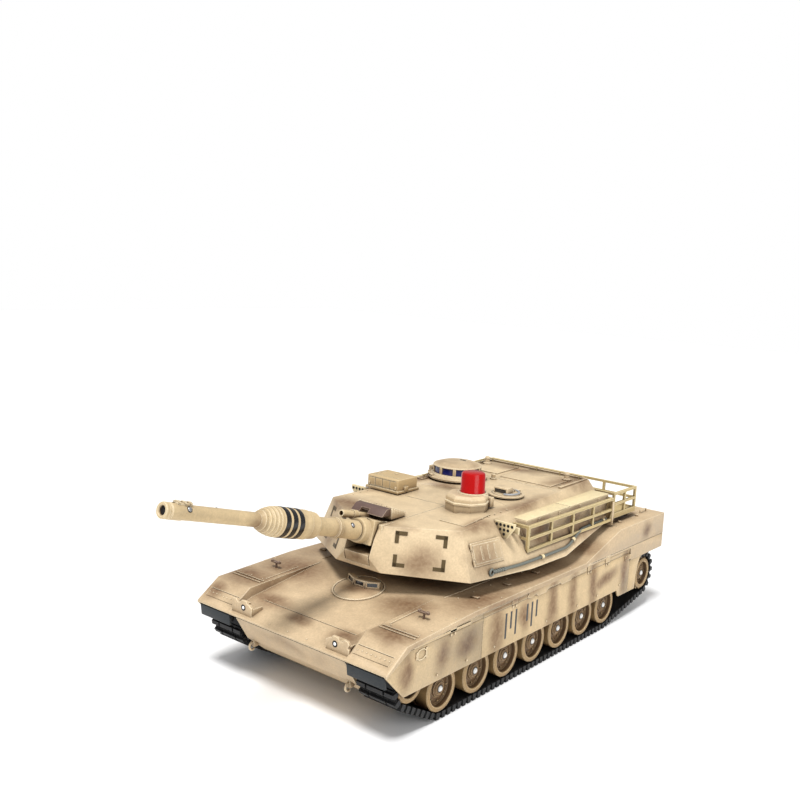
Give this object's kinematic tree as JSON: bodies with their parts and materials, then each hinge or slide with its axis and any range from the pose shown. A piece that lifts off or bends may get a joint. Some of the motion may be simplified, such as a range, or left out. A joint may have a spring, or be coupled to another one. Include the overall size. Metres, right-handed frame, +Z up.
{
  "type": "radio-controlled tank model",
  "caption": "Radio-controlled scale model of a battle tank with a turning turret, an elevating gun, rubber tracks on road wheels, a red beacon and stowage racks.",
  "frame": {"origin": "on the ground, in the middle of the overall length and width with the gun raised as at rest", "axes": "+Z up, the front and the gun face -Y, +X is the tank's own left side"},
  "size_m": [0.152, 0.4154, 0.1334],
  "materials": {
    "sand_plastic": "sand tan ABS with airbrushed purple-brown patches, satin",
    "rack_plastic": "yellowish bare moulded plastic",
    "wheel_plastic": "brown wheel disc with a paler sand rim",
    "track_rubber": "black moulded rubber",
    "beacon_red": "clear red lamp cover",
    "window_blue": "glossy dark blue",
    "lamp_lens": "clear LED lens",
    "steel": "bright motor can and gear",
    "board_green": "green solder mask",
    "battery_wrap": "blue shrink wrap",
    "black_plastic": "black moulded plastic"
  },
  "bodies": {
    "hull": {"battery_door": "sand_plastic", "battery_pack": "battery_wrap", "circuit_board": "board_green", "drive_motor_left": "steel", "drive_motor_right": "steel", "driver_hatch": "sand_plastic", "gearbox_frame": "black_plastic", "headlamp_left": "sand_plastic", "headlamp_lens_left": "lamp_lens", "headlamp_lens_right": "lamp_lens", "headlamp_right": "sand_plastic", "hull_deck": "sand_plastic", "hull_tub": "sand_plastic", "mud_flap_left": "track_rubber", "mud_flap_right": "track_rubber", "rear_grille": "sand_plastic", "skirt_left": "sand_plastic", "skirt_right": "sand_plastic", "speaker": "black_plastic", "track_left": "track_rubber", "track_right": "track_rubber", "traverse_motor": "steel"},
    "turret": {"turret_shell": "sand_plastic", "turret_floor": "black_plastic", "sight_box": "sand_plastic", "cupola": "sand_plastic", "cupola_windows": "window_blue", "beacon_base": "sand_plastic", "beacon_lens": "beacon_red", "loader_hatch": "sand_plastic", "side_rack_left": "rack_plastic", "side_rack_right": "rack_plastic", "bustle_rack": "rack_plastic", "smoke_launcher_left": "rack_plastic", "smoke_launcher_right": "rack_plastic"},
    "gun": {"mantlet": "sand_plastic", "gun_barrel": "sand_plastic", "coax_tube": "sand_plastic"},
    "power_switch": {"power_switch": "black_plastic"},
    "traverse_pinion": {"traverse_pinion": "black_plastic"},
    "sprocket_left": {"sprocket_left": "wheel_plastic"},
    "idler_left": {"idler_left": "wheel_plastic"},
    "road_wheel_left_1": {"road_wheel_left_1": "wheel_plastic"},
    "road_wheel_left_2": {"road_wheel_left_2": "wheel_plastic"},
    "road_wheel_left_3": {"road_wheel_left_3": "wheel_plastic"},
    "road_wheel_left_4": {"road_wheel_left_4": "wheel_plastic"},
    "road_wheel_left_5": {"road_wheel_left_5": "wheel_plastic"},
    "road_wheel_left_6": {"road_wheel_left_6": "wheel_plastic"},
    "road_wheel_left_7": {"road_wheel_left_7": "wheel_plastic"},
    "motor_pinion_left": {"motor_pinion_left": "steel"},
    "sprocket_right": {"sprocket_right": "wheel_plastic"},
    "idler_right": {"idler_right": "wheel_plastic"},
    "road_wheel_right_1": {"road_wheel_right_1": "wheel_plastic"},
    "road_wheel_right_2": {"road_wheel_right_2": "wheel_plastic"},
    "road_wheel_right_3": {"road_wheel_right_3": "wheel_plastic"},
    "road_wheel_right_4": {"road_wheel_right_4": "wheel_plastic"},
    "road_wheel_right_5": {"road_wheel_right_5": "wheel_plastic"},
    "road_wheel_right_6": {"road_wheel_right_6": "wheel_plastic"},
    "road_wheel_right_7": {"road_wheel_right_7": "wheel_plastic"},
    "motor_pinion_right": {"motor_pinion_right": "steel"}
  },
  "joints": [
    {"name": "turret_traverse", "type": "hinge", "parent": "hull", "child": "turret", "pos_m": [0, 0.02772, 0.0665], "axis": [0, 0, 1], "range_deg": [-160, 160]},
    {"name": "gun_elevation", "type": "hinge", "parent": "turret", "child": "gun", "pos_m": [0, -0.04728, 0.088], "axis": [-1, 0, 0], "range_deg": [-17.5, 10.5]},
    {"name": "power_switch_slide", "type": "slide", "parent": "hull", "child": "power_switch", "axis": [0, 1, 0], "range_m": [0, 0.004]},
    {"name": "traverse_pinion_spin", "type": "hinge", "parent": "hull", "child": "traverse_pinion", "pos_m": [0, 0.07402, 0.0523], "axis": [0, 0, 1], "continuous": true},
    {"name": "sprocket_left_spin", "type": "hinge", "parent": "hull", "child": "sprocket_left", "pos_m": [0.06345, 0.18272, 0.028], "axis": [1, 0, 0], "continuous": true},
    {"name": "idler_left_spin", "type": "hinge", "parent": "hull", "child": "idler_left", "pos_m": [0.06345, -0.09778, 0.03], "axis": [1, 0, 0], "continuous": true},
    {"name": "road_wheel_left_1_spin", "type": "hinge", "parent": "hull", "child": "road_wheel_left_1", "pos_m": [0.06345, -0.06958, 0.0176], "axis": [1, 0, 0], "continuous": true},
    {"name": "road_wheel_left_2_spin", "type": "hinge", "parent": "hull", "child": "road_wheel_left_2", "pos_m": [0.06345, -0.03568, 0.0176], "axis": [1, 0, 0], "continuous": true},
    {"name": "road_wheel_left_3_spin", "type": "hinge", "parent": "hull", "child": "road_wheel_left_3", "pos_m": [0.06345, -0.00388, 0.0176], "axis": [1, 0, 0], "continuous": true},
    {"name": "road_wheel_left_4_spin", "type": "hinge", "parent": "hull", "child": "road_wheel_left_4", "pos_m": [0.06345, 0.02792, 0.0176], "axis": [1, 0, 0], "continuous": true},
    {"name": "road_wheel_left_5_spin", "type": "hinge", "parent": "hull", "child": "road_wheel_left_5", "pos_m": [0.06345, 0.05972, 0.0176], "axis": [1, 0, 0], "continuous": true},
    {"name": "road_wheel_left_6_spin", "type": "hinge", "parent": "hull", "child": "road_wheel_left_6", "pos_m": [0.06345, 0.09152, 0.0176], "axis": [1, 0, 0], "continuous": true},
    {"name": "road_wheel_left_7_spin", "type": "hinge", "parent": "hull", "child": "road_wheel_left_7", "pos_m": [0.06345, 0.12332, 0.0176], "axis": [1, 0, 0], "continuous": true},
    {"name": "motor_pinion_left_spin", "type": "hinge", "parent": "hull", "child": "motor_pinion_left", "pos_m": [0.0395, 0.16742, 0.028], "axis": [1, 0, 0], "continuous": true},
    {"name": "sprocket_right_spin", "type": "hinge", "parent": "hull", "child": "sprocket_right", "pos_m": [-0.06345, 0.18272, 0.028], "axis": [1, 0, 0], "continuous": true},
    {"name": "idler_right_spin", "type": "hinge", "parent": "hull", "child": "idler_right", "pos_m": [-0.06345, -0.09778, 0.03], "axis": [1, 0, 0], "continuous": true},
    {"name": "road_wheel_right_1_spin", "type": "hinge", "parent": "hull", "child": "road_wheel_right_1", "pos_m": [-0.06345, -0.06958, 0.0176], "axis": [1, 0, 0], "continuous": true},
    {"name": "road_wheel_right_2_spin", "type": "hinge", "parent": "hull", "child": "road_wheel_right_2", "pos_m": [-0.06345, -0.03568, 0.0176], "axis": [1, 0, 0], "continuous": true},
    {"name": "road_wheel_right_3_spin", "type": "hinge", "parent": "hull", "child": "road_wheel_right_3", "pos_m": [-0.06345, -0.00388, 0.0176], "axis": [1, 0, 0], "continuous": true},
    {"name": "road_wheel_right_4_spin", "type": "hinge", "parent": "hull", "child": "road_wheel_right_4", "pos_m": [-0.06345, 0.02792, 0.0176], "axis": [1, 0, 0], "continuous": true},
    {"name": "road_wheel_right_5_spin", "type": "hinge", "parent": "hull", "child": "road_wheel_right_5", "pos_m": [-0.06345, 0.05972, 0.0176], "axis": [1, 0, 0], "continuous": true},
    {"name": "road_wheel_right_6_spin", "type": "hinge", "parent": "hull", "child": "road_wheel_right_6", "pos_m": [-0.06345, 0.09152, 0.0176], "axis": [1, 0, 0], "continuous": true},
    {"name": "road_wheel_right_7_spin", "type": "hinge", "parent": "hull", "child": "road_wheel_right_7", "pos_m": [-0.06345, 0.12332, 0.0176], "axis": [1, 0, 0], "continuous": true},
    {"name": "motor_pinion_right_spin", "type": "hinge", "parent": "hull", "child": "motor_pinion_right", "pos_m": [-0.0395, 0.16742, 0.028], "axis": [1, 0, 0], "continuous": true}
  ],
  "couplings": [
    {"joint": "traverse_pinion_spin", "follows": "turret_traverse", "ratio": -8.2},
    {"joint": "idler_left_spin", "follows": "sprocket_left_spin", "ratio": 1.1348},
    {"joint": "road_wheel_left_1_spin", "follows": "sprocket_left_spin", "ratio": 0.9743},
    {"joint": "road_wheel_left_2_spin", "follows": "sprocket_left_spin", "ratio": 0.9743},
    {"joint": "road_wheel_left_3_spin", "follows": "sprocket_left_spin", "ratio": 0.9743},
    {"joint": "road_wheel_left_4_spin", "follows": "sprocket_left_spin", "ratio": 0.9743},
    {"joint": "road_wheel_left_5_spin", "follows": "sprocket_left_spin", "ratio": 0.9743},
    {"joint": "road_wheel_left_6_spin", "follows": "sprocket_left_spin", "ratio": 0.9743},
    {"joint": "road_wheel_left_7_spin", "follows": "sprocket_left_spin", "ratio": 0.9743},
    {"joint": "motor_pinion_left_spin", "follows": "sprocket_left_spin", "ratio": -4},
    {"joint": "idler_right_spin", "follows": "sprocket_right_spin", "ratio": 1.1348},
    {"joint": "road_wheel_right_1_spin", "follows": "sprocket_right_spin", "ratio": 0.9743},
    {"joint": "road_wheel_right_2_spin", "follows": "sprocket_right_spin", "ratio": 0.9743},
    {"joint": "road_wheel_right_3_spin", "follows": "sprocket_right_spin", "ratio": 0.9743},
    {"joint": "road_wheel_right_4_spin", "follows": "sprocket_right_spin", "ratio": 0.9743},
    {"joint": "road_wheel_right_5_spin", "follows": "sprocket_right_spin", "ratio": 0.9743},
    {"joint": "road_wheel_right_6_spin", "follows": "sprocket_right_spin", "ratio": 0.9743},
    {"joint": "road_wheel_right_7_spin", "follows": "sprocket_right_spin", "ratio": 0.9743},
    {"joint": "motor_pinion_right_spin", "follows": "sprocket_right_spin", "ratio": -4}
  ]
}
